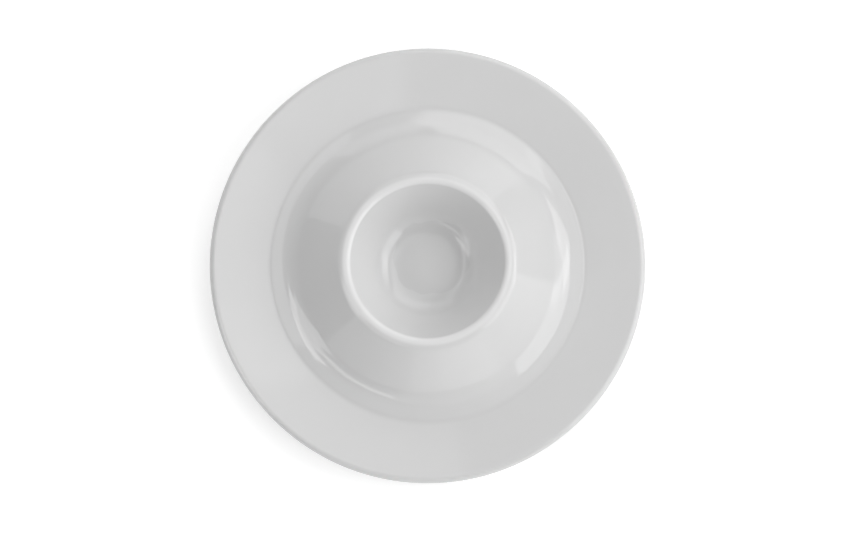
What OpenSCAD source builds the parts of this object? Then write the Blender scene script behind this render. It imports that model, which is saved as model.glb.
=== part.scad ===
// Egg cup with a fixed saucer, in glazed porcelain. All sizes are in millimetres.
// The part is turned about Z, stands on z = 0 and opens upwards. Three pieces of clay are formed
// apart and become one in the kiln: a saucer with a foot ring, a double-walled cup that flares
// down to it, and the slip that fills the seat between them.
// An outline is a list of corners, each [distance from the axis, height, rounding].

/* [Saucer] */
// Outside diameter of the rim
saucer_d = 130; // [115:1:150]
// Thickness of the rim, which has a full round edge
rim_t = 4.4; // [3.4:0.1:5.2]
// Height that the rim gains from the well line to its edge
rim_rise = 2.3; // [1:0.1:4]
// Thickness of the floor under the cup
floor_t = 2.6; // [2:0.1:3.6]
// Diameter of the vent that lets air out of the closed hollow in the kiln
vent_d = 3; // [2:0.5:6]

/* [Foot ring] */
// Mean diameter of the ring that the saucer stands on
foot_d = 74; // [66:1:88]
// Width of its bare flat face
foot_w = 2; // [1.2:0.1:3]
// Height of the ring below the floor
foot_h = 2.2; // [1.5:0.1:4]
// Amount that each side of the ring widens up to its root
foot_draft = 1; // [0.4:0.1:2]
// Rounding beside the flat face
foot_edge_r = 0.7; // [0.2:0.1:1]
// Rounding where the ring runs into the floor and the rim
foot_root_r = 2; // [0.5:0.1:4]

/* [Seat] */
// Diameter of the well line, where the cup meets the saucer
well_d = 93.6; // [84:0.2:106]
// Depth of the seat that is turned into the saucer for the cup
seat_depth = 2.8; // [2:0.1:3.6]
// Thickness of the layer of slip under the cup
slip_t = 0.4; // [0.2:0.1:0.8]
// Width of the band of slip that shows at the well line
seam_w = 1; // [0.6:0.1:2]
// Rounding of that band, sponged hollow along the well line
seam_r = 3; // [1:0.5:6]

/* [Cup] */
// Inside diameter of the mouth, before the lip is rounded
mouth_d = 46; // [42:0.5:51]
// Width of the lip, before it is rounded
lip_w = 2.5; // [2:0.1:4]
// Rounding of the lip on its outer side
lip_outer_r = 3.9; // [2:0.1:6]
// Rounding of the lip on its inner side
lip_inner_r = 1.8; // [0.8:0.1:2.4]
// Thickness of both walls
cup_t = 2.6; // [2:0.1:3.2]
// Width of the shallow toe between the well line and the foot of the cone
toe_w = 6.5; // [4:0.1:9]
// Height that the toe gains over that width
toe_rise = 1.5; // [0.5:0.1:2.5]
// Radius of the sweep from the toe up into the cone
sweep_r = 13; // [6:0.5:18]

/* [Egg bowl] */
// Depth of the bowl below the lip
bowl_depth = 14.4; // [12:0.2:20]
// Amount that the bowl's wall leans in between the mouth and its foot
bowl_lean = 9.6; // [7:0.2:13]
// Radius that turns the wall into the bottom
bowl_r = 8; // [4:0.5:10]
// Gap between the bowl's underside and the saucer's floor
bowl_gap = 0.8; // [0.5:0.1:2]
// Rounding at the top of the hollow between the two walls
hollow_r = 1; // [0.4:0.1:2]

/* [Hidden] */
arc_step = 6; // degrees of turn for each chord of a rounding
overrun = 1; // how far a cutting shape runs past what it cuts
$fn = 120;

saucer_r = saucer_d / 2;
well_r = well_d / 2;
mouth_r = mouth_d / 2;
lip_r = mouth_r + lip_w;
toe_r = well_r - toe_w;
floor_z = foot_h + floor_t;
well_z = floor_z + seat_depth;
rim_z = well_z + rim_rise;
toe_z = well_z + toe_rise;
foot_face_z = floor_z + slip_t; // underside of the cup, on its layer of slip
bowl_z = floor_z + bowl_gap + cup_t;
cup_z = bowl_z + bowl_depth;
seat_r = well_r + seam_w / 2; // wall of the seat in the saucer
edge_r = well_r - seam_w / 2; // outer edge of the cup

// Height at distance r of the straight line through the points a and b
function height_at(r, a, b) = a.y + (b.y - a.y) * (r - a.x) / (b.x - a.x);

// Point where the line through a and b crosses the line through c and d
function crossing(a, b, c, d) =
    let (u = b - a, v = d - c, w = c - a) a + u * (w.x * v.y - w.y * v.x) / (u.x * v.y - u.y * v.x);

// Both ends of the line from a to b, moved a distance t to its left
function moved_left(a, b, t) =
    let (u = (b - a) / norm(b - a), side = [-u.y, u.x] * t) [a + side, b + side];

// Place of a corner without its rounding
function place(c) = [c.x, c.y];

// Interior angle at b between its neighbours a and c
function angle_at(a, b, c) =
    let (u = place(a) - place(b), v = place(c) - place(b)) acos(u * v / (norm(u) * norm(v)));

// Length that the rounding of b takes off both its sides
function cut_at(a, b, c) = b.z == 0 ? 0 : b.z / tan(angle_at(a, b, c) / 2);

// Share of a side that two neighbouring roundings may keep, so that they never run into each other
function kept(side, cuts) = cuts > side ? side / cuts : 1;

// Chords of the arc that rounds b by a cut of the given length
function arc_at(a, b, c, cut) =
    let (
        u = (place(a) - place(b)) / norm(place(a) - place(b)),
        v = (place(c) - place(b)) / norm(place(c) - place(b)),
        half = angle_at(a, b, c) / 2,
        radius = cut * tan(half),
        middle = place(b) + (u + v) / norm(u + v) * radius / sin(half),
        first = place(b) + u * cut - middle,
        turn = (u.x * v.y - u.y * v.x > 0 ? -1 : 1) * (180 - 2 * half),
        steps = ceil(abs(turn) / arc_step)
    )
    [for (i = [0:steps]) middle + turned(first, turn * i / steps)];

// Vector p turned by an angle
function turned(p, angle) = [p.x * cos(angle) - p.y * sin(angle), p.x * sin(angle) + p.y * cos(angle)];

// Points of a closed outline, with each corner rounded as far as its sides leave room
function rounded(corners) =
    let (
        n = len(corners),
        cuts = [for (i = [0:n - 1]) cut_at(corners[(i + n - 1) % n], corners[i], corners[(i + 1) % n])],
        sides = [for (i = [0:n - 1]) norm(place(corners[(i + 1) % n]) - place(corners[i]))]
    )
    [
        for (i = [0:n - 1])
            let (
                before = (i + n - 1) % n,
                after = (i + 1) % n,
                share = min(kept(sides[before], cuts[before] + cuts[i]), kept(sides[i], cuts[i] + cuts[after]))
            )
            each cuts[i] == 0
                ? [place(corners[i])]
                : arc_at(corners[before], corners[i], corners[after], cuts[i] * share)
    ];

// Solid that the outline of corners sweeps round the axis
module turned_solid(corners) {
    rotate_extrude() polygon(rounded(corners));
}

// Top of the rim above the seat's wall, and of the toe above the cup's edge
rim_inner_z = height_at(seat_r, [well_r, well_z], [saucer_r, rim_z]);
toe_outer_z = height_at(edge_r, [well_r, well_z], [toe_r, toe_z]);

// Skins of the cup's two walls as straight lines, and the hollow's sides one wall behind them
cone_foot = [toe_r, toe_z];
cone_top = [lip_r, cup_z];
bowl_top = [mouth_r, cup_z];
bowl_foot = [mouth_r - bowl_lean, bowl_z];
cone_back = moved_left(cone_foot, cone_top, cup_t);
bowl_back = moved_left(bowl_top, bowl_foot, cup_t);
hollow_top = crossing(cone_back[0], cone_back[1], bowl_back[0], bowl_back[1]);
hollow_foot_r = crossing(cone_back[0], cone_back[1], [0, foot_face_z], [well_r, foot_face_z]).x;
bowl_under = crossing(bowl_back[0], bowl_back[1], [0, bowl_z - cup_t], [well_r, bowl_z - cup_t]);

// Jiggered plate: rim, floor with the seat, foot ring and vent
module saucer() {
    inner_r = foot_d / 2 - foot_w / 2;
    outer_r = foot_d / 2 + foot_w / 2;
    color("gainsboro") difference() {
        turned_solid([
            [0, foot_h, 0],
            [inner_r - foot_draft, foot_h, foot_root_r],
            [inner_r, 0, foot_edge_r],
            [outer_r, 0, foot_edge_r],
            [outer_r + foot_draft, foot_h, foot_root_r],
            [saucer_r, rim_z - rim_t, rim_t / 2],
            [saucer_r, rim_z, rim_t / 2],
            [seat_r, rim_inner_z, 0],
            [seat_r, floor_z, 0],
            [0, floor_z, 0]
        ]);
        translate([0, 0, foot_h - overrun]) cylinder(d = vent_d, h = floor_t + 2 * overrun);
    }
}

// Slip that beds the cup in its seat, with the hollow band that shows along the well line
module slip_joint() {
    color("whitesmoke") turned_solid([
        [hollow_foot_r, floor_z, 0],
        [seat_r, floor_z, 0],
        [seat_r, rim_inner_z, 0],
        [well_r, well_z, seam_r],
        [edge_r, toe_outer_z, 0],
        [edge_r, foot_face_z, 0],
        [hollow_foot_r, foot_face_z, 0]
    ]);
}

// Slip-cast shell: toe, sweep, cone, folded lip and egg bowl, hollow between the two walls
module cup() {
    color("white") turned_solid([
        [hollow_foot_r, foot_face_z, 0],
        [edge_r, foot_face_z, 0],
        [edge_r, toe_outer_z, 0],
        [toe_r, toe_z, sweep_r],
        [lip_r, cup_z, lip_outer_r],
        [mouth_r, cup_z, lip_inner_r],
        [bowl_foot.x, bowl_foot.y, bowl_r],
        [0, bowl_z, 0],
        [0, bowl_z - cup_t, 0],
        [bowl_under.x, bowl_under.y, bowl_r + cup_t],
        [hollow_top.x, hollow_top.y, hollow_r]
    ]);
}

saucer();
slip_joint();
cup();
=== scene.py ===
# %% [markdown]
# # A porcelain egg cup with a fixed saucer
# This notebook dresses one egg cup in white glazed porcelain. The real one is made of three
# pieces of clay that the kiln turns into one: a saucer, a double-walled cup and the slip that
# joins them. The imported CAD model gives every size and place, so this script only has to give
# each piece a smoother skin, a glaze, and a plain studio to stand in.

import math

import bmesh
import bpy
from mathutils import Matrix, Vector


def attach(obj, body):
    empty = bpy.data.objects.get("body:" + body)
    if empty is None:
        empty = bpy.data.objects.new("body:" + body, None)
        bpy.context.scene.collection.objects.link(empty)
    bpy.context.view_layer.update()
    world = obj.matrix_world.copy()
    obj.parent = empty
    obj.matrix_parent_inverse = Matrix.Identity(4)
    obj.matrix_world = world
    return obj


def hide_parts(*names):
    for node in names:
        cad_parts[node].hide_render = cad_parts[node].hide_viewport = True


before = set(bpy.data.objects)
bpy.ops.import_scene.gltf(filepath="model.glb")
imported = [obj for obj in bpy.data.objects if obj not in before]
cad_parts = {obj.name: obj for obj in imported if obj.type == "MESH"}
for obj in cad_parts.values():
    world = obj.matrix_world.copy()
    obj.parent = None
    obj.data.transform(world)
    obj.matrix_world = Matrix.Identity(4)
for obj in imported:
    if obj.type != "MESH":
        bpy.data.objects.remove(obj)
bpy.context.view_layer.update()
print("pieces in the frame:", sorted(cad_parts))

# %% [markdown]
# ## Sizes
# Blender works in metres and the potter in millimetres, so the sizes are written in millimetres
# and turned into metres once. They are the sizes that the CAD source uses, under the same names.
# One size is the script's own: the rim's upper edge is rounded a little tighter than the full
# round of the CAD source, because the photograph shows only a thin dark line there.

# %% Sizes of the saucer
mm = 0.001
saucer_d = 130 * mm  # across the rim
rim_t = 4.4 * mm  # thickness of the rim
rim_top_r = 1.6 * mm  # rounding of its upper edge
rim_rise = 2.3 * mm  # height that it gains from the well line to its edge
floor_t = 2.6 * mm  # thickness of the floor under the cup
vent_d = 3 * mm  # hole that lets air out of the closed hollow in the kiln
foot_d = 74 * mm  # mean diameter of the foot ring
foot_w = 2 * mm  # width of its flat face
foot_h = 2.2 * mm  # its height below the floor
foot_draft = 1 * mm  # amount that each side of it widens up to its root
foot_edge_r = 0.7 * mm  # rounding beside the flat face
foot_root_r = 2 * mm  # rounding where it runs into the floor and the rim
print(f"the saucer is {saucer_d / mm:.0f} mm across, on a foot ring of {foot_d / mm:.0f} mm")

# %% Sizes of the seat and the cup
well_d = 93.6 * mm  # the well line, where the cup meets the saucer
seat_depth = 2.8 * mm  # depth of the seat in the saucer
slip_t = 0.4 * mm  # layer of slip under the cup
seam_w = 1 * mm  # band of slip that shows at the well line
seam_r = 3 * mm  # rounding that makes the band hollow
mouth_d = 46 * mm  # inside the lip, before it is rounded
lip_w = 2.5 * mm  # width of the lip, before it is rounded
lip_outer_r = 3.9 * mm
lip_inner_r = 1.8 * mm
cup_t = 2.6 * mm  # thickness of both walls
toe_w = 6.5 * mm  # shallow toe between the well line and the cone
toe_rise = 1.5 * mm  # height that the toe gains
sweep_r = 13 * mm  # sweep from the toe up into the cone
print(f"the well line is {well_d / mm:.1f} mm across and the mouth {mouth_d / mm:.0f} mm")

# %% Sizes of the egg bowl
bowl_depth = 14.4 * mm
bowl_lean = 9.6 * mm  # how far its wall leans in on the way down
bowl_r = 8 * mm  # radius that turns the wall into the bottom
bowl_gap = 0.8 * mm  # between the bowl's underside and the saucer's floor
hollow_r = 1 * mm  # rounding at the top of the hollow between the walls
print(f"the bowl is {bowl_depth / mm:.1f} mm deep")

# %% [markdown]
# Heights are added up from the table: foot ring, floor, seat, rim, bowl. Nothing is typed twice,
# so that a changed size can't leave a gap or an overlap between two pieces of clay.

# %% Radii and heights that follow
saucer_r, well_r, mouth_r = saucer_d / 2, well_d / 2, mouth_d / 2
lip_r, toe_r = mouth_r + lip_w, well_r - toe_w
floor_z = foot_h + floor_t
well_z = floor_z + seat_depth
rim_z, toe_z = well_z + rim_rise, well_z + toe_rise
foot_face_z = floor_z + slip_t
bowl_z = floor_z + bowl_gap + cup_t
cup_z = bowl_z + bowl_depth
seat_r, edge_r = well_r + seam_w / 2, well_r - seam_w / 2
print(f"the cup stands {cup_z / mm:.1f} mm high, and its rim {rim_z / mm:.1f} mm")

# %% [markdown]
# ## Outlines with rounded corners
# Anything made on a wheel is one outline swept round an axis. It is easiest to think of that
# outline as a few corners, each with a rounding, as a potter's template has. These helpers take
# such corners and return the points of straight runs and true arcs. It could also be a Bezier
# curve with hand-placed handles, but corners keep every radius a number that can be checked.

# %% Straight runs, cut up
longest_run = 1.5 * mm


def spread(points, closed):
    """The same outline with long straight runs cut up, so that a soft ripple can bend them."""
    ends = points[1:] + (points[:1] if closed else [])
    result = []
    for a, b in zip(points, ends):
        cuts = max(1, math.ceil((b - a).length / longest_run))
        result += [a.lerp(b, k / cuts) for k in range(cuts)]
    return result if closed else result + [points[-1]]


trial = spread([Vector((0, 0)), Vector((10 * mm, 0))], closed=False)
print("a run of 10 mm becomes", len(trial), "points")

# %% The arc at one corner
arc_step = math.radians(3)


def half_angle(before, after):
    """Half the angle at a corner, between the ways to its two neighbours."""
    return before.normalized().angle(after.normalized()) / 2


def arc(corner, before, after, cut):
    """Points of the arc that leaves both sides of a corner at the distance cut from it."""
    u, v = before.normalized(), after.normalized()
    half = half_angle(before, after)
    middle = corner + (u + v).normalized() * cut / math.cos(half)
    start = corner + u * cut - middle
    turn = (-1 if u.cross(v) > 0 else 1) * (math.pi - 2 * half)
    steps = math.ceil(abs(turn) / arc_step)
    points = []
    for k in range(steps + 1):
        a = turn * k / steps
        points.append(middle + Vector((start.x * math.cos(a) - start.y * math.sin(a),
                                       start.x * math.sin(a) + start.y * math.cos(a))))
    return points


trial = arc(Vector((0, 0)), Vector((mm, 0)), Vector((0, mm)), mm)
print("a square corner becomes an arc of", len(trial), "points")

# %% [markdown]
# Two roundings can want more of the side between them than it has. Then both get the same share
# of what they ask for, so that they never run into each other.

# %% From corners to points
def share_kept(side, cuts):
    """Share of its two cuts that a side has room for."""
    return side.length / cuts if cuts > side.length else 1


def rounded(corners, closed):
    """Points of an outline given as (distance from the axis, height, rounding) corners."""
    n = len(corners)
    at = [Vector((r, z)) for r, z, _ in corners]
    before = [at[i - 1] - at[i] for i in range(n)]
    after = [at[(i + 1) % n] - at[i] for i in range(n)]
    cuts = [radius / math.tan(half_angle(before[i], after[i])) if radius else 0
            for i, (_, _, radius) in enumerate(corners)]
    points = []
    for i in range(n):
        if not cuts[i]:
            points.append(at[i])
            continue
        share = min(share_kept(before[i], cuts[i - 1] + cuts[i]),
                    share_kept(after[i], cuts[i] + cuts[(i + 1) % n]))
        points += arc(at[i], before[i], after[i], cuts[i] * share)
    return spread(points, closed)


# %% [markdown]
# ## Walls of one thickness
# The hidden side of a cast wall runs parallel to its skin. So each skin is taken as a straight
# line, moved to its left by the wall, and the moved lines are crossed to find the corners of
# the hollow. An offset tool could do it, but short functions say the same in sizes.

# %% Where the seat cuts the rim and the toe
def height_at(r, a, b):
    """Height at distance r of the straight line through a and b."""
    return a[1] + (b[1] - a[1]) * (r - a[0]) / (b[0] - a[0])


rim_inner_z = height_at(seat_r, (well_r, well_z), (saucer_r, rim_z))
toe_outer_z = height_at(edge_r, (well_r, well_z), (toe_r, toe_z))
print(f"rim and toe begin at heights of {rim_inner_z / mm:.2f} and {toe_outer_z / mm:.2f} mm")


# %% Corners of the hollow
def moved_left(a, b, t):
    """The line from a to b, moved a distance t to its left."""
    d = (b - a).normalized()
    side = Vector((-d.y, d.x)) * t
    return a + side, b + side


def crossing(line, other):
    """Point where two lines cross, each given by two points."""
    (a, b), (c, d) = line, other
    u, v, w = b - a, d - c, c - a
    return a + u * w.cross(v) / u.cross(v)


def level(z):
    """The level line at height z."""
    return Vector((0, z)), Vector((well_r, z))


cone = Vector((toe_r, toe_z)), Vector((lip_r, cup_z))
bowl = Vector((mouth_r, cup_z)), Vector((mouth_r - bowl_lean, bowl_z))
cone_back, bowl_back = moved_left(*cone, cup_t), moved_left(*bowl, cup_t)
hollow_top = crossing(cone_back, bowl_back)
hollow_foot = crossing(cone_back, level(foot_face_z))
bowl_under = crossing(bowl_back, level(bowl_z - cup_t))
print(f"before its rounding, the hollow reaches {hollow_top.y / mm:.1f} mm up")

# %% [markdown]
# ## The three outlines
# The saucer is a plate with a foot ring and a shallow seat. Its outline is closed, and starts at
# the vent. The ring widens upwards on both sides, to be strong where it carries the plate.

# %% Outline of the saucer
foot_in, foot_out = foot_d / 2 - foot_w / 2, foot_d / 2 + foot_w / 2
saucer_outline = rounded([
    (vent_d / 2, foot_h, 0),
    (foot_in - foot_draft, foot_h, foot_root_r),
    (foot_in, 0, foot_edge_r),
    (foot_out, 0, foot_edge_r),
    (foot_out + foot_draft, foot_h, foot_root_r),
    (saucer_r, rim_z - rim_t, rim_t / 2),
    (saucer_r, rim_z, rim_top_r),
    (seat_r, rim_inner_z, 0),
    (seat_r, floor_z, 0),
    (vent_d / 2, floor_z, 0),
], closed=True)
print("points in the saucer's outline:", len(saucer_outline))

# %% [markdown]
# The slip fills the seat between saucer and cup, and shows as a thin hollow band, the line
# where the cup's flare meets the rim. It could be a dent in the cup's mesh, but as a piece of
# its own it keeps that line crisp, and it stands for the solid that the CAD model has there.

# %% Outline of the slip
slip_outline = rounded([
    (hollow_foot.x, floor_z, 0),
    (seat_r, floor_z, 0),
    (seat_r, rim_inner_z, 0),
    (well_r, well_z, seam_r),
    (edge_r, toe_outer_z, 0),
    (edge_r, foot_face_z, 0),
    (hollow_foot.x, foot_face_z, 0),
], closed=True)
print("points in the slip's outline:", len(slip_outline))

# %% [markdown]
# The cup is one shell. Its outline starts on the axis under the bowl, goes round the hollow, out
# along the foot, up the toe and the cone, folds over at the lip and comes down again as the egg
# bowl, back to the axis. Both of its ends lie on the axis, so it isn't closed by a side.

# %% Outline of the cup
cup_outline = rounded([
    (0, bowl_z - cup_t, 0),
    (bowl_under.x, bowl_under.y, bowl_r + cup_t),
    (hollow_top.x, hollow_top.y, hollow_r),
    (hollow_foot.x, foot_face_z, 0),
    (edge_r, foot_face_z, 0),
    (edge_r, toe_outer_z, 0),
    (toe_r, toe_z, sweep_r),
    (lip_r, cup_z, lip_outer_r),
    (mouth_r, cup_z, lip_inner_r),
    (mouth_r - bowl_lean, bowl_z, bowl_r),
    (0, bowl_z, 0),
], closed=False)
print("points in the cup's outline:", len(cup_outline))

# %% [markdown]
# ## A wheel made of nodes
# One Geometry Nodes tree turns any outline round the axis, the way a potter's wheel turns clay
# under a template. A grid supplies the faces: one row of it for each point of the outline, one
# column for each step round. Each vertex looks its point up by index and is moved there. A spin
# in mesh code would give the same shape, but here the steps stay a named input, and the soft
# ripple that hand-finished and fired clay has can be mixed in before the seam is merged.
#
# Written out in full, such a tree is long. So one helper adds a node with its inputs, one does a
# step of arithmetic, and one gives the tree its named sockets.

# %% Helpers for nodes
def add(tree, kind, inputs=None, **settings):
    """A new node, with its settings and the values or links of its inputs."""
    made = tree.nodes.new(kind)
    for name, value in settings.items():
        setattr(made, name, value)
    for key, value in (inputs or {}).items():
        if isinstance(value, bpy.types.NodeSocket):
            tree.links.new(value, made.inputs[key])
        else:
            made.inputs[key].default_value = value
    return made


def maths(tree, operation, *values):
    """One step of arithmetic on numbers or sockets."""
    inputs = dict(enumerate(values))
    return add(tree, "ShaderNodeMath", inputs, operation=operation).outputs[0]


# %% The wheel and its named sockets
def sockets(tree, **kinds):
    """Named sockets on a node group, as name=(in or out, kind, default)."""
    for name, (way, kind, default) in kinds.items():
        made = tree.interface.new_socket(name.replace("_", " "), in_out=way,
                                         socket_type="NodeSocket" + kind)
        if default is not None:
            made.default_value = default
    print(tree.name, "has the sockets", ", ".join(kinds))


wheel = bpy.data.node_groups.new("wheel_turning", "GeometryNodeTree")
sockets(wheel,
        Outline=("INPUT", "Geometry", None),
        Steps_round=("INPUT", "Int", 288),
        Ripple=("INPUT", "Float", 0.03 * mm),
        Ripple_size=("INPUT", "Float", 18 * mm),
        Out_of_round=("INPUT", "Float", 0.1 * mm),
        Sharp_angle=("INPUT", "Float", math.radians(35)),
        Finish=("INPUT", "Material", None),
        Turned=("OUTPUT", "Geometry", None))
given = wheel.nodes.new("NodeGroupInput").outputs

# %% The grid, and the point of each vertex
count = add(wheel, "GeometryNodeAttributeDomainSize", {"Geometry": given["Outline"]},
            component="MESH").outputs["Point Count"]
columns = maths(wheel, "ADD", given["Steps round"], 1.0)
grid = add(wheel, "GeometryNodeMeshGrid", {
    "Vertices X": columns, "Vertices Y": count}).outputs["Mesh"]
index = add(wheel, "GeometryNodeInputIndex").outputs[0]
row = maths(wheel, "FLOORED_MODULO", index, count)
column = maths(wheel, "FLOOR", maths(wheel, "DIVIDE", index, count))
place = add(wheel, "GeometryNodeInputPosition").outputs[0]
point = add(wheel, "GeometryNodeSampleIndex", {
    "Geometry": given["Outline"], "Value": place, "Index": row},
    data_type="FLOAT_VECTOR", domain="POINT").outputs["Value"]
point = add(wheel, "ShaderNodeSeparateXYZ", {0: point}).outputs
radius, height = point["X"], point["Z"]
print("nodes that look up the outline:", len(wheel.nodes))

# %% The turn of each vertex
angle = maths(wheel, "DIVIDE", column, given["Steps round"])
angle = maths(wheel, "MULTIPLY", angle, 2 * math.pi)
across, along = maths(wheel, "COSINE", angle), maths(wheel, "SINE", angle)


def on_wheel(distance, z):
    """Place at a distance from the axis and a height, turned to the vertex's own angle."""
    return add(wheel, "ShaderNodeCombineXYZ", {
        "X": maths(wheel, "MULTIPLY", distance, across),
        "Y": maths(wheel, "MULTIPLY", distance, along), "Z": z}).outputs[0]


clean = on_wheel(radius, height)
print("nodes that look it up and turn it:", len(wheel.nodes))

# %% [markdown]
# The ripple is a smooth noise that is read in space, so neighbouring pieces ripple alike and
# stay shut where they meet. It only ever draws the clay in, never out, because fired clay
# shrinks and because the piece must stay inside its CAD size. It fades out at the foot, which
# is ground flat, and on the axis.

# %% Ripple
axis_fade = 5 * mm  # it reaches its full height this far from the axis
foot_guard = 1 * mm  # there is none below this height
foot_fade = 3 * mm  # and it reaches its full height this far above that
ripple = add(wheel, "ShaderNodeTexNoise", {
    "Vector": clean, "Scale": maths(wheel, "DIVIDE", 1.0, given["Ripple size"]),
    "Detail": 1.0, "Roughness": 0.4}, noise_dimensions="3D").outputs["Color"]
ripple = add(wheel, "ShaderNodeSeparateXYZ", {0: ripple}).outputs
off_axis = maths(wheel, "MINIMUM", maths(wheel, "DIVIDE", radius, axis_fade), 1.0)
off_foot = maths(wheel, "MAXIMUM", maths(wheel, "SUBTRACT", height, foot_guard), 0.0)
off_foot = maths(wheel, "MINIMUM", maths(wheel, "DIVIDE", off_foot, foot_fade), 1.0)
print("nodes with the ripple:", len(wheel.nodes))

# %% [markdown]
# The kiln also pulls a wide saucer slightly oval. Two waves round the edge do that: they take
# nothing off the long side and the whole of the small input off the short one.

# %% Out-of-round
waves_round, oval_turn = 2.0, 0.6
oval = maths(wheel, "COSINE", maths(wheel, "MULTIPLY_ADD", angle, waves_round, oval_turn))
oval = maths(wheel, "MULTIPLY_ADD", oval, 0.5, 0.5)
oval = maths(wheel, "MULTIPLY", oval, given["Out of round"])
oval = maths(wheel, "MULTIPLY", maths(wheel, "DIVIDE", radius, saucer_r), oval)
drawn_in = maths(wheel, "MULTIPLY_ADD", ripple["X"], given["Ripple"], oval)
drawn_in = maths(wheel, "MULTIPLY", off_axis, drawn_in)
drawn_down = maths(wheel, "MULTIPLY", ripple["Z"], given["Ripple"])
drawn_down = maths(wheel, "MULTIPLY", off_foot, drawn_down)
final = on_wheel(maths(wheel, "SUBTRACT", radius, drawn_in),
                 maths(wheel, "SUBTRACT", height, drawn_down))
print("nodes with the ripple and the oval:", len(wheel.nodes))

# %% [markdown]
# The grid's first and last column meet after a full turn, a closed outline's last row meets its
# first, and the ends of the cup's outline lie on the axis. So vertices in the same place are
# merged. The skin is shaded smooth, apart from edges that bend sharply, such as the corners of
# the seat.

# %% Merging, shading and finish
same_place = 0.001 * mm
turned = add(wheel, "GeometryNodeSetPosition", {
    "Geometry": grid, "Position": final}).outputs[0]
turned = add(wheel, "GeometryNodeMergeByDistance", {
    "Geometry": turned, "Distance": same_place}).outputs[0]
turned = add(wheel, "GeometryNodeSetShadeSmooth", {"Geometry": turned}).outputs[0]
bend = add(wheel, "GeometryNodeInputMeshEdgeAngle").outputs["Unsigned Angle"]
sharp = maths(wheel, "GREATER_THAN", bend, given["Sharp angle"])
turned = add(wheel, "GeometryNodeSetShadeSmooth", {
    "Geometry": turned, "Selection": sharp, "Shade Smooth": False}, domain="EDGE").outputs[0]
turned = add(wheel, "GeometryNodeRealizeInstances", {"Geometry": turned}).outputs[0]
turned = add(wheel, "GeometryNodeSetMaterial", {
    "Geometry": turned, "Material": given["Finish"]}).outputs[0]
wheel.links.new(turned, wheel.nodes.new("NodeGroupOutput").inputs["Turned"])
print("nodes on the whole wheel:", len(wheel.nodes))

# %% [markdown]
# ## Turning a piece
# The outline becomes a chain of points in the XZ plane, the tree turns it, and the evaluated
# result is copied out as a plain mesh. After that the modifier is gone and the piece is an
# ordinary closed shell whose place is in its own vertices. The short report shows that it is
# closed and how much clay it holds.

# %% Faces outwards, and a short report
def face_outwards(name, mesh):
    """Turns a closed mesh's faces outwards, and prints its volume, triangles and open edges."""
    shape = bmesh.new()
    shape.from_mesh(mesh)
    volume = shape.calc_volume(signed=True)
    if volume < 0:
        bmesh.ops.reverse_faces(shape, faces=shape.faces)
        shape.to_mesh(mesh)
    clay = abs(volume) / (10 * mm) ** 3
    triangles = sum(len(f.verts) - 2 for f in shape.faces)
    loose = sum(1 for e in shape.edges if len(e.link_faces) != 2)
    shape.free()
    print(f"{name}: {clay:.1f} cm3, {triangles} triangles, {loose} open edges")


# %% Turn an outline into a finished piece
def turn_piece(name, outline, closed, finish):
    """One closed piece of clay, turned from its outline and given its finish."""
    chain = bpy.data.meshes.new(name + "_outline")
    ring = outline + outline[:1] if closed else outline
    chain.from_pydata([(p.x, 0, p.y) for p in ring], [], [])
    blank = bpy.data.objects.new(name + "_blank", chain)
    bpy.context.scene.collection.objects.link(blank)
    modifier = blank.modifiers.new("wheel", "NODES")
    modifier.node_group = wheel
    named = {item.name: item.identifier for item in wheel.interface.items_tree
             if item.in_out == "INPUT"}
    modifier[named["Finish"]] = finish
    evaluated = blank.evaluated_get(bpy.context.evaluated_depsgraph_get())
    mesh = bpy.data.meshes.new_from_object(evaluated)
    mesh.name = name
    bpy.data.objects.remove(blank)
    piece = bpy.data.objects.new(name, mesh)
    bpy.context.scene.collection.objects.link(piece)
    face_outwards(name, mesh)
    return piece


# %% [markdown]
# ## Porcelain under a glaze
# Hard porcelain is a white body with a layer of clear glass on it. The body scatters light
# evenly, so the base is near white and rough, and the glass is the coat: a second, sharp
# reflection on top. Shapes are read mostly from that coat. Two groups carry what changes over
# the surface: one the faint colour, with its painted shade and painted highlight, one the faint
# unevenness of the poured glaze. Both read a place in the piece's own coordinates, so that no
# pattern slides when the piece is turned.

# %% Helpers for a place
def separate(tree, place):
    """The three coordinates of a place."""
    return add(tree, "ShaderNodeSeparateXYZ", {0: place}).outputs


def from_middle(tree, axes):
    """Distance from the Z axis of a place that is given by its separate coordinates."""
    return maths(tree, "SQRT", maths(tree, "MULTIPLY_ADD", axes["X"], axes["X"], maths(
        tree, "MULTIPLY", axes["Y"], axes["Y"])))


def noise(tree, place, scale, detail):
    """Smooth noise between 0 and 1, with about as many waves in a metre as scale says."""
    return add(tree, "ShaderNodeTexNoise", {
        "Vector": place, "Scale": scale, "Detail": detail}).outputs["Fac"]


# %% Helpers for a change from one value or colour to another
def ramp(tree, value, low, high, to_low=0.0, to_high=1.0):
    """value between low and high, eased and spread over the new range."""
    return add(tree, "ShaderNodeMapRange", {
        "Value": value, "From Min": low, "From Max": high,
        "To Min": to_low, "To Max": to_high}, interpolation_type="SMOOTHSTEP").outputs[0]


def mix_colour(tree, factor, a, b):
    """Colour a, turning into b as factor rises."""
    return add(tree, "ShaderNodeMix", {0: factor, 6: a, 7: b}, data_type="RGBA").outputs[2]
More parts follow.
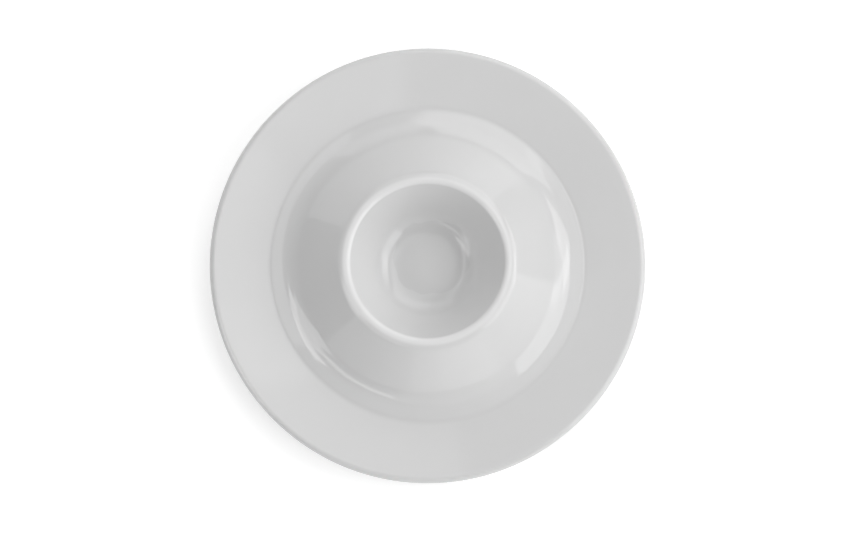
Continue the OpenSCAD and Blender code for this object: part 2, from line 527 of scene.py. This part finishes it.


# %% [markdown]
# The colour changes little. In the bottom of the bowl and along the crease at the well line it is
# greyer: painted shade. On the lip's edge it is whiter: a painted highlight. The painted shade in
# the bowl lies a little off the middle, and its edge wanders.
# Everything could be painted by hand, but distances from the axis put it in the right place on
# all three pieces at once.

# %% Group for the colour of glazed porcelain, with painted shade and a painted highlight
glaze_colour_and_painted_light = bpy.data.node_groups.new("glaze_colour_and_painted_light", "ShaderNodeTree")
sockets(glaze_colour_and_painted_light,
        Place=("INPUT", "Vector", None),
        Body=("INPUT", "Color", (0.68, 0.68, 0.68, 1)),
        # Pooled is the grey of the painted shade in the bowl and the crease, and of the clouding
        Pooled=("INPUT", "Color", (0.56, 0.56, 0.56, 1)),
        # Highlight is the white of a painted highlight on the lip's edge
        Thin=("INPUT", "Color", (0.78, 0.78, 0.78, 1)),
        Speck=("INPUT", "Color", (0.25, 0.24, 0.23, 1)),
        Crease_radius=("INPUT", "Float", well_r),
        # the painted shade in the bowl is a disc, a little off the middle, with a wandering edge
        Pool_radius=("INPUT", "Float", 11.2 * mm),
        Pool_centre=("INPUT", "Vector", (1.0 * mm, 2.1 * mm, 0)),
        Shore_wander=("INPUT", "Float", 3.5 * mm),
        Colour=("OUTPUT", "Color", None))
got = glaze_colour_and_painted_light.nodes.new("NodeGroupInput").outputs
axes = separate(glaze_colour_and_painted_light, got["Place"])
from_axis = from_middle(glaze_colour_and_painted_light, axes)

# %% Painted shade along the crease
crease_depth = 0.2  # share of the shade colour that this painted shade takes
crease_core, crease_reach = 0.2 * mm, 1.6 * mm
off_line = maths(glaze_colour_and_painted_light, "SUBTRACT", from_axis, got["Crease radius"])
off_line = maths(glaze_colour_and_painted_light, "ABSOLUTE", off_line)
crease = ramp(glaze_colour_and_painted_light, off_line, crease_core, crease_reach, crease_depth, 0.0)
print(f"the crease takes {crease_depth:.0%} of the pooled colour")

# %% Painted shade in the bottom of the bowl
# a disc of painted shade, a little off the middle, whose edge wanders
shade_disc_depth = 0.35
shade_edge_waves, shade_edge_fade = 160.0, 0.3 * mm
shade_disc_offset = add(glaze_colour_and_painted_light, "ShaderNodeVectorMath", {
    0: got["Place"], 1: got["Pool centre"]}, operation="SUBTRACT").outputs[0]
shade_disc_distance = from_middle(glaze_colour_and_painted_light, separate(glaze_colour_and_painted_light, shade_disc_offset))
shade_edge = noise(glaze_colour_and_painted_light, got["Place"], shade_edge_waves, 1.0)
shade_edge = maths(glaze_colour_and_painted_light, "MULTIPLY_ADD", maths(glaze_colour_and_painted_light, "SUBTRACT", shade_edge, 0.5),
              got["Shore wander"], shade_disc_distance)
shade_edge = maths(glaze_colour_and_painted_light, "SUBTRACT", shade_edge, got["Pool radius"])
shade_disc = ramp(glaze_colour_and_painted_light, shade_edge, -shade_edge_fade, shade_edge_fade, shade_disc_depth, 0.0)
print(f"the pool in the bowl takes {shade_disc_depth:.0%} of the pooled colour")

# %% [markdown]
# The painted shade is kept to the upper side, so that the crease leaves no ring under the saucer.
# A very soft clouding covers the rest, since no poured coat has quite the same thickness
# everywhere.

# %% The upper side and the clouding
cloud_depth, cloud_waves, cloud_range = 0.06, 45.0, (0.35, 0.65)
upper_side = maths(glaze_colour_and_painted_light, "GREATER_THAN", axes["Z"], foot_face_z)
painted_shade = maths(glaze_colour_and_painted_light, "MAXIMUM", crease, shade_disc)
painted_shade = maths(glaze_colour_and_painted_light, "MULTIPLY", painted_shade, upper_side)
cloud = noise(glaze_colour_and_painted_light, got["Place"], cloud_waves, 2.0)
cloud = ramp(glaze_colour_and_painted_light, cloud, *cloud_range, 0.0, cloud_depth)
shade_and_cloud = maths(glaze_colour_and_painted_light, "MAXIMUM", painted_shade, cloud)
tint = mix_colour(glaze_colour_and_painted_light, shade_and_cloud, got["Body"], got["Pooled"])
print(f"clouds take up to {cloud_depth:.0%} of the pooled colour")

# %% Painted highlight on the lip's edge
lip_fade = cup_z - 0.8 * mm, cup_z - 0.1 * mm
lip_edge = 24.2 * mm, 25.4 * mm
lip_highlight = maths(glaze_colour_and_painted_light, "MULTIPLY", ramp(glaze_colour_and_painted_light, axes["Z"], *lip_fade),
               ramp(glaze_colour_and_painted_light, from_axis, *lip_edge, 1.0, 0.0))
tint = mix_colour(glaze_colour_and_painted_light, lip_highlight, tint, got["Thin"])
print(f"the glaze thins out from a height of {lip_fade[0] / mm:.1f} mm up")

# %% [markdown]
# Any white clay holds a few grains of iron, which the kiln turns into specks. A Voronoi pattern
# gives each of its cells a random colour, the same in every run. The few cells whose colour
# passes a high limit get a small dot in their middle.

# %% Iron specks
speck_cells, speck_limit, speck_size = 90.0, 0.985, 0.02
cells = add(glaze_colour_and_painted_light, "ShaderNodeTexVoronoi", {
    "Vector": got["Place"], "Scale": speck_cells}).outputs
chosen = add(glaze_colour_and_painted_light, "ShaderNodeSeparateColor", {0: cells["Color"]}).outputs[0]
chosen = maths(glaze_colour_and_painted_light, "GREATER_THAN", chosen, speck_limit)
dot = ramp(glaze_colour_and_painted_light, cells["Distance"], 0.7 * speck_size, speck_size, 1.0, 0.0)
speck = maths(glaze_colour_and_painted_light, "MULTIPLY", dot, chosen)
tint = mix_colour(glaze_colour_and_painted_light, speck, tint, got["Speck"])
glaze_colour_and_painted_light.links.new(tint, glaze_colour_and_painted_light.nodes.new("NodeGroupOutput").inputs["Colour"])
print("nodes in the colour group:", len(glaze_colour_and_painted_light.nodes))

# %% [markdown]
# A poured glaze is never quite level: it flows in soft waves, and it has fine pits where gas
# left it. Both are far too low to model, so they are a height for the shader's bump.

# %% Group for the unevenness of the glaze
glaze_relief = bpy.data.node_groups.new("glaze_relief", "ShaderNodeTree")
sockets(glaze_relief,
        Place=("INPUT", "Vector", None),
        Flow=("INPUT", "Float", 0.02 * mm),
        Pitting=("INPUT", "Float", 0.0006 * mm),
        Height=("OUTPUT", "Float", None))
got = glaze_relief.nodes.new("NodeGroupInput").outputs
flow_waves, pit_waves = 110.0, 900.0
flow = noise(glaze_relief, got["Place"], flow_waves, 1.0)
pits = maths(glaze_relief, "MULTIPLY", noise(
    glaze_relief, got["Place"], pit_waves, 1.0), got["Pitting"])
relief = maths(glaze_relief, "MULTIPLY_ADD", flow, got["Flow"], pits)
glaze_relief.links.new(relief, glaze_relief.nodes.new("NodeGroupOutput").inputs["Height"])
print("nodes in the relief group:", len(glaze_relief.nodes))

# %% [markdown]
# ## Bare clay at the foot
# A glazed foot would stick to the kiln shelf, so the ring is wiped clean before firing and
# ground flat afterwards. The same goes for the edge of the vent. A mask on the piece's own
# coordinates marks that strip: there the coat goes away and the body turns a little darker
# and grainier. It is a group too, because both its colour and its coat follow the one mask.

# %% Group for the wiped foot
wiped_foot = bpy.data.node_groups.new("wiped_foot", "ShaderNodeTree")
sockets(wiped_foot,
        Place=("INPUT", "Vector", None),
        Glazed=("INPUT", "Color", (0.68, 0.68, 0.68, 1)),
        Bare=("INPUT", "Color", (0.62, 0.61, 0.59, 1)),
        Grain=("INPUT", "Color", (0.50, 0.48, 0.46, 1)),
        Wiped_height=("INPUT", "Float", 0.5 * mm),
        Vent_radius=("INPUT", "Float", vent_d / 2),
        Colour=("OUTPUT", "Color", None),
        Coat=("OUTPUT", "Float", None),
        Roughness=("OUTPUT", "Float", None))
got = wiped_foot.nodes.new("NodeGroupInput").outputs
axes = separate(wiped_foot, got["Place"])
from_axis = from_middle(wiped_foot, axes)

# %% Where the glaze was wiped off
wander, wipe_waves, wipe_fade = 0.4 * mm, 300.0, 0.05 * mm
vent_wiped = 0.1 * mm, 0.4 * mm
edge = maths(wiped_foot, "SUBTRACT", got["Wiped height"], wander / 2)
edge = maths(wiped_foot, "MULTIPLY_ADD", noise(
    wiped_foot, got["Place"], wipe_waves, 3.0), wander, edge)
low = maths(wiped_foot, "SUBTRACT", axes["Z"], edge)
low = ramp(wiped_foot, low, -wipe_fade, wipe_fade, 1.0, 0.0)
vent = maths(wiped_foot, "SUBTRACT", from_axis, got["Vent radius"])
vent = ramp(wiped_foot, vent, *vent_wiped, 1.0, 0.0)
bare = maths(wiped_foot, "MAXIMUM", low, vent)
print("nodes in the mask of the wiped foot:", len(wiped_foot.nodes))

# %% How the clay looks there
grain_depth, grain_waves, grain_range = 0.25, 2500.0, (0.3, 0.7)
glazed_roughness, bare_roughness = 0.45, 0.8
grain = noise(wiped_foot, got["Place"], grain_waves, 2.0)
grain = ramp(wiped_foot, grain, *grain_range, 0.0, grain_depth)
clay = mix_colour(wiped_foot, grain, got["Bare"], got["Grain"])
tint = mix_colour(wiped_foot, bare, got["Glazed"], clay)
coat = maths(wiped_foot, "SUBTRACT", 1.0, bare)
roughness = ramp(wiped_foot, bare, 0.0, 1.0, glazed_roughness, bare_roughness)
result = wiped_foot.nodes.new("NodeGroupOutput").inputs
wiped_foot.links.new(tint, result["Colour"])
wiped_foot.links.new(coat, result["Coat"])
wiped_foot.links.new(roughness, result["Roughness"])
print("nodes in the foot group:", len(wiped_foot.nodes))

# %% [markdown]
# ## The two finishes
# The cup and its seam are glazed all over. The saucer has the wiped foot as well. Both place
# the same groups, so the glaze matches across the seam, and the values that never change,
# such as the coat's sharpness, sit on the shader itself.

# %% A material and its shader
def plain_shader(name, **values):
    """A material, its tree and its shader, with the shader's sockets set by name."""
    made = bpy.data.materials.new(name)
    made.use_nodes = True
    shader = next(n for n in made.node_tree.nodes if n.type == "BSDF_PRINCIPLED")
    for socket, value in values.items():
        shader.inputs[socket.replace("_", " ")].default_value = value
    return made, made.node_tree, shader


# %% Glazed porcelain
def porcelain(name, with_foot):
    """White porcelain with a clear glaze, and a wiped foot where asked."""
    made, tree, shader = plain_shader(
        name, Roughness=glazed_roughness, Specular_IOR_Level=0.0,
        Coat_Weight=1.0, Coat_Roughness=0.04, Coat_IOR=1.5)
    local = add(tree, "ShaderNodeTexCoord").outputs["Object"]
    # the colour, with painted shade in the bowl and crease and a painted highlight on the lip
    colour = add(tree, "ShaderNodeGroup", node_tree=glaze_colour_and_painted_light, inputs={
        "Place": local}).outputs["Colour"]
    if with_foot:
        foot = add(tree, "ShaderNodeGroup", node_tree=wiped_foot, inputs={
            "Place": local, "Glazed": colour}).outputs
        colour = foot["Colour"]
        tree.links.new(foot["Coat"], shader.inputs["Coat Weight"])
        tree.links.new(foot["Roughness"], shader.inputs["Roughness"])
    tree.links.new(colour, shader.inputs["Base Color"])
    height = add(tree, "ShaderNodeGroup", node_tree=glaze_relief, inputs={
        "Place": local}).outputs["Height"]
    bump = add(tree, "ShaderNodeBump", {
        "Strength": 1.0, "Distance": 1.0, "Height": height}).outputs[0]
    tree.links.new(bump, shader.inputs["Normal"])
    return made


glazed = porcelain("glazed_porcelain", with_foot=False)
glazed_with_foot = porcelain("glazed_porcelain_with_bare_foot", with_foot=True)
print("finishes:", glazed.name, "and", glazed_with_foot.name)

# %% [markdown]
# ## The pieces take their places
# Each turned piece stands for one CAD solid, which is hidden, takes its porcelain finish,
# and rides on the one body that a part without joints has.

# %% Make the three pieces
for name, outline, closed, finish, node in (
        ("saucer_plate", saucer_outline, True, glazed_with_foot, "saucer"),
        ("slip_seam", slip_outline, True, glazed, "slip_joint"),
        ("egg_cup_shell", cup_outline, False, glazed, "cup")):
    piece = turn_piece(name, outline, closed, finish)
    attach(piece, "root")
    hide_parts(node)

# %% [markdown]
# ## Floor
# The cup stands on a white sweep, which lies a hair below the foot so that the two faces don't
# fight for one plane. For the camera, and in reflections, the floor glows just enough to read
# as white, as a lit studio floor does behind small ware. More lamps would whiten it too, but
# they would wash out the porcelain. The soft shadow of the cup is the part of the floor's own
# shading that is left on top of the glow.

# %% The floor's face
reach, floor_top = 3.0, -0.02 * mm
corners = ((-1, -1), (1, -1), (1, 1), (-1, 1))
floor_mesh = bpy.data.meshes.new("studio_floor")
floor_mesh.from_pydata([(x * reach, y * reach, floor_top) for x, y in corners],
                       [], [(0, 1, 2, 3)])
studio_floor = bpy.data.objects.new("studio_floor", floor_mesh)
bpy.context.scene.collection.objects.link(studio_floor)
print(f"the floor is {2 * reach:.0f} m wide")

# %% The floor's finish
floor_glow = 0.45
sweep, tree, shader = plain_shader(
    "white_sweep", Base_Color=(0.8, 0.8, 0.8, 1), Roughness=0.9,
    Specular_IOR_Level=0.0, Emission_Color=(1, 1, 1, 1))
path = add(tree, "ShaderNodeLightPath").outputs
seen = maths(tree, "MAXIMUM", path["Is Glossy Ray"], path["Is Transmission Ray"])
seen = maths(tree, "MAXIMUM", path["Is Camera Ray"], seen)
glow = maths(tree, "MULTIPLY", seen, floor_glow)
tree.links.new(glow, shader.inputs["Emission Strength"])
floor_mesh.materials.append(sweep)
print("the floor's finish:", sweep.name)

# %% [markdown]
# ## Camera
# The photograph looks down on the cup from almost overhead, four and a half degrees off the
# vertical on the near side, with a long lens. The camera is placed by that angle and by its
# distance, and aimed at a point close to the axis, so that the rim lands where the photograph
# has it. It could be dragged there by eye, but then the angle couldn't be read off.

# %% Camera
elevation, distance = math.radians(85.5), 0.8
aim = Vector((0, -0.86 * mm, 7.9 * mm))
camera_data = bpy.data.cameras.new("camera")
camera_data.sensor_width = 36  # in millimetres, as the lens
camera_data.lens = 113.05
camera = bpy.data.objects.new("camera", camera_data)
bpy.context.scene.collection.objects.link(camera)
away_from_aim = Vector((0, -math.cos(elevation), math.sin(elevation)))
camera.location = aim + distance * away_from_aim
camera.rotation_euler = (aim - camera.location).to_track_quat("-Z", "Y").to_euler()
bpy.context.scene.camera = camera
print(f"the camera stands {camera.location.z:.2f} m above the floor")

# %% [markdown]
# ## Light
# White ware has no colour to tell its shape. The shape is in the slow change of grey and in the
# edges of the lamps that the glaze mirrors, so each lamp is soft and stands where its mirror
# image falls on the right part of the cup. It is given by its direction, by the angles that it
# fills as seen from the cup, and by how bright its face is, where 1 would look white. Lamps by
# power would be as good, but the brightness of a face stays the same when a lamp is made larger.
#
# Places and sizes were chosen one by one. The brightness values were not all: a separate program
# fitted the lamps to the greys of the photograph by least squares, and its results, rounded, are
# those of right_wide, right_core, right_low, upper_right, upper, near_wall, far_low,
# near_low_left and left_ceiling. The other seven were set or changed one by one.

# %% A lamp by its direction, angles and brightness
away = 2.0


def softbox(name, azimuth, zenith, turn, width, height, brightness):
    """A lamp two metres off that faces the cup; width and height are the angles that it fills."""
    data = bpy.data.lights.new(name, "AREA")
    data.shape = "RECTANGLE"
    data.size, data.size_y = (2 * away * math.tan(math.radians(v / 2)) for v in (width, height))
    data.energy = math.pi * brightness * data.size * data.size_y
    lamp = bpy.data.objects.new(name, data)
    bpy.context.scene.collection.objects.link(lamp)
    a, z = math.radians(azimuth), math.radians(zenith)
    direction = Vector((math.sin(z) * math.cos(a), math.sin(z) * math.sin(a), math.cos(z)))
    lamp.location = away * direction
    facing = (-lamp.location).to_track_quat("-Z", "Y").to_matrix().to_4x4()
    lamp.rotation_euler = (facing @ Matrix.Rotation(math.radians(turn), 4, "Z")).to_euler()
    print(f"{name}: face of {data.size:.2f} by {data.size_y:.2f} m")


# %% [markdown]
# A wall of softboxes stands on the right and runs round to the far side. It does most of the
# lighting, and it is what the right half of the cone mirrors.

# %% The wall on the right and the far side
softbox("right_wide", 340, 56, -14, 42, 44, 2.2)
softbox("right_core", 15, 55, 35, 22, 30, 2.1)
softbox("right_low", 2, 72, 0, 30, 24, 0.8)
softbox("upper_right", 66, 54, 0, 38, 44, 1.8)
softbox("upper", 108, 58, 0, 28, 36, 1.0)

# %% [markdown]
# On the left stand only narrow lamps, one below the other, that taper to a tail on the near
# side. The cone mirrors them as a bright crescent, and the dark room beside them as a wedge.

# %% The narrow lamps on the left
softbox("left_brow", 199, 40, 41, 26, 10, 3.2)
softbox("left_middle", 203, 54, 38, 24, 16, 2.0)
softbox("left_foot", 210, 69, 34, 16, 16, 2.0)
softbox("left_tail", 236, 51, 0, 28, 9, 2.2)

# %% [markdown]
# A slope mirrors what stands at twice its own tilt. So long strips just above the table fill
# the steepest part of the cone, and dim panels overhead are what the nearly flat rim shows.

# %% Low strips, the near wall and the ceiling
softbox("near_wall", 285, 62, 0, 50, 46, 0.5)
softbox("far_low", 100, 84, 0, 108, 12, 0.75)
softbox("near_low_left", 246, 84, 0, 64, 12, 0.7)
softbox("near_low_right", 317, 84, 0, 78, 12, 1.0)
softbox("ceiling", 40, 17, -32, 30, 28, 0.7)
softbox("ceiling_core", 28, 19, -32, 20, 20, 0.6)
softbox("left_ceiling", 160, 27, 0, 46, 12, 1.3)

# %% [markdown]
# The room between the lamps is dim but not black, so that the parts of the glaze that mirror
# no lamp stay a soft grey.

# %% A dim room
room_light = 0.1
room = bpy.data.worlds.new("room")
bpy.context.scene.world = room
room.use_nodes = True
background = next(n for n in room.node_tree.nodes if n.type == "BACKGROUND")
background.inputs["Color"].default_value = (1, 1, 1, 1)
background.inputs["Strength"].default_value = room_light

# %% [markdown]
# ## Finish
# The render uses Blender's Standard view transform. The dressed model must stay inside
# the CAD box.

# %% The view transform
bpy.context.scene.view_settings.view_transform = "Standard"
